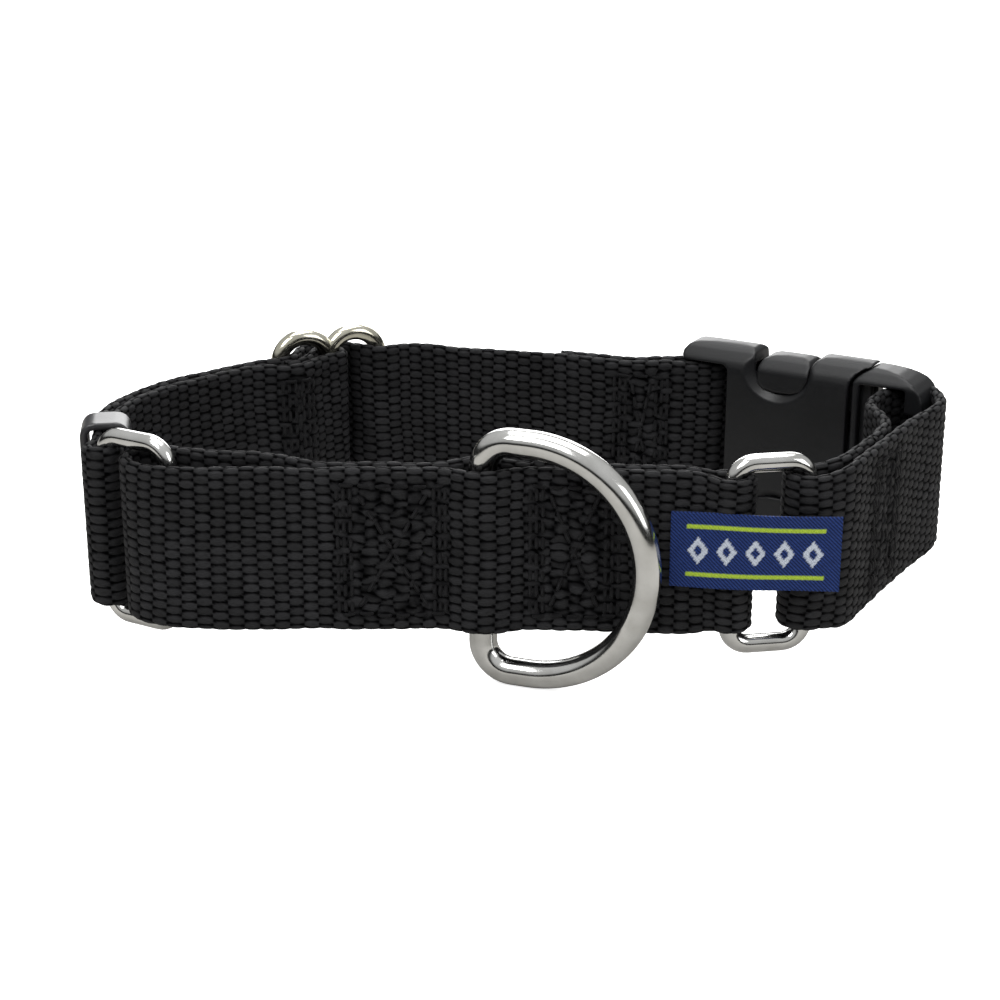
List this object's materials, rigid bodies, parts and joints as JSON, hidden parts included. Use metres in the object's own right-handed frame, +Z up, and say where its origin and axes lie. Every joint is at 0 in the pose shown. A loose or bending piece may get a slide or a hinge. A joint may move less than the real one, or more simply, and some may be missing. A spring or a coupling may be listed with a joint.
{
  "type": "martingale collar",
  "caption": "Webbing martingale dog collar with side release buckle, leash ring on a control loop, two strap rings, adjuster slide and strap keeper.",
  "frame": {"origin": "middle of the neck opening, on the surface the collar stands on", "axes": "+X to the right seen from the leash ring side, +Y from the leash ring to the back, +Z up through the neck opening"},
  "size_m": [0.137, 0.08, 0.04],
  "materials": {
    "webbing": "heavy ribbed nylon webbing, black",
    "thread": "bonded nylon thread, black",
    "nickel": "bright nickel plate",
    "slide_nickel": "warm nickel plate",
    "buckle_plastic": "moulded acetal, black, fine satin",
    "keeper_plastic": "moulded plastic, black, satin sheen",
    "label": "blue woven twill",
    "label_thread": "blue thread"
  },
  "bodies": {
    "neck": {"back_strap": "webbing", "return_end": "webbing", "adjuster_slide": "slide_nickel", "buckle_socket": "buckle_plastic", "stitch_slide_end": "thread", "stitch_buckle_end": "thread"},
    "left_strap_body": {"left_strap": "webbing"},
    "keeper_body": {"strap_keeper": "keeper_plastic"},
    "left_ring_body": {"left_ring": "nickel"},
    "plug_body": {"buckle_plug": "buckle_plastic"},
    "latch_upper_body": {"latch_arm_upper": "buckle_plastic"},
    "latch_lower_body": {"latch_arm_lower": "buckle_plastic"},
    "right_strap_body": {"right_strap": "webbing", "stitch_right_strap": "thread"},
    "right_ring_body": {"right_ring": "nickel", "label_free_end": "label"},
    "control_right_body": {"control_loop_right": "webbing", "stitch_control_right": "thread", "woven_label": "label", "stitch_label": "label_thread"},
    "control_left_body": {"control_loop_left": "webbing", "stitch_control_left": "thread"},
    "leash_ring_body": {"leash_ring": "nickel"}
  },
  "joints": [
    {"name": "buckle_release", "type": "slide", "parent": "neck", "child": "plug_body", "axis": [0.866, -0.5, 0], "range_m": [0, 0.0155], "deforming": ["latch_arm_upper", "latch_arm_lower"]},
    {"name": "right_strap_swing", "type": "hinge", "parent": "plug_body", "child": "right_strap_body", "pos_m": [0.06465, 0.0086, 0.0215], "axis": [0, 0, 1], "range_deg": [-20, 1]},
    {"name": "right_ring_pivot", "type": "hinge", "parent": "right_strap_body", "child": "right_ring_body", "pos_m": [0.04104, -0.031, 0.0215], "axis": [0, 0, 1], "range_deg": [-1, 22]},
    {"name": "martingale_draw", "type": "hinge", "parent": "right_ring_body", "child": "control_right_body", "pos_m": [0.0298, -0.0329, 0.0215], "axis": [0, 0, 1], "range_deg": [0, 22]},
    {"name": "control_fold", "type": "hinge", "parent": "control_right_body", "child": "control_left_body", "pos_m": [-0.0062, -0.0304, 0.0215], "axis": [0, 0, 1], "range_deg": [-34, 1]},
    {"name": "leash_ring_swing", "type": "hinge", "parent": "control_right_body", "child": "leash_ring_body", "pos_m": [-0.0062, -0.0304, 0.0215], "axis": [0, 0, 1], "range_deg": [-140, 1]},
    {"name": "left_strap_swing", "type": "hinge", "parent": "neck", "child": "left_strap_body", "pos_m": [-0.048, 0.0212, 0.0215], "axis": [0, 0, 1], "range_deg": [-1, 7]},
    {"name": "left_ring_pivot", "type": "hinge", "parent": "left_strap_body", "child": "left_ring_body", "pos_m": [-0.0632, -0.0206, 0.0215], "axis": [0, 0, 1], "range_deg": [-25, 1]},
    {"name": "keeper_slide", "type": "slide", "parent": "left_strap_body", "child": "keeper_body", "axis": [-0.1323, 0.9912, 0], "range_m": [-0.0005, 0.004]},
    {"name": "latch_squeeze", "type": "hinge", "parent": "plug_body", "child": "latch_upper_body", "pos_m": [0.05487, 0.01425, 0.031], "axis": [-0.5, -0.866, 0], "range_deg": [0, 8]},
    {"name": "latch_squeeze_lower", "type": "hinge", "parent": "plug_body", "child": "latch_lower_body", "pos_m": [0.05487, 0.01425, 0.012], "axis": [-0.5, -0.866, 0], "range_deg": [-8, 0]}
  ],
  "couplings": [
    {"joint": "right_strap_swing", "follows": "buckle_release", "rad_per_m": -20.83},
    {"joint": "right_ring_pivot", "follows": "buckle_release", "rad_per_m": 22.2},
    {"joint": "control_fold", "follows": "martingale_draw", "ratio": -1.51},
    {"joint": "left_strap_swing", "follows": "martingale_draw", "ratio": 0.3},
    {"joint": "left_ring_pivot", "follows": "martingale_draw", "ratio": -1.1},
    {"joint": "latch_squeeze_lower", "follows": "latch_squeeze", "ratio": -1}
  ]
}
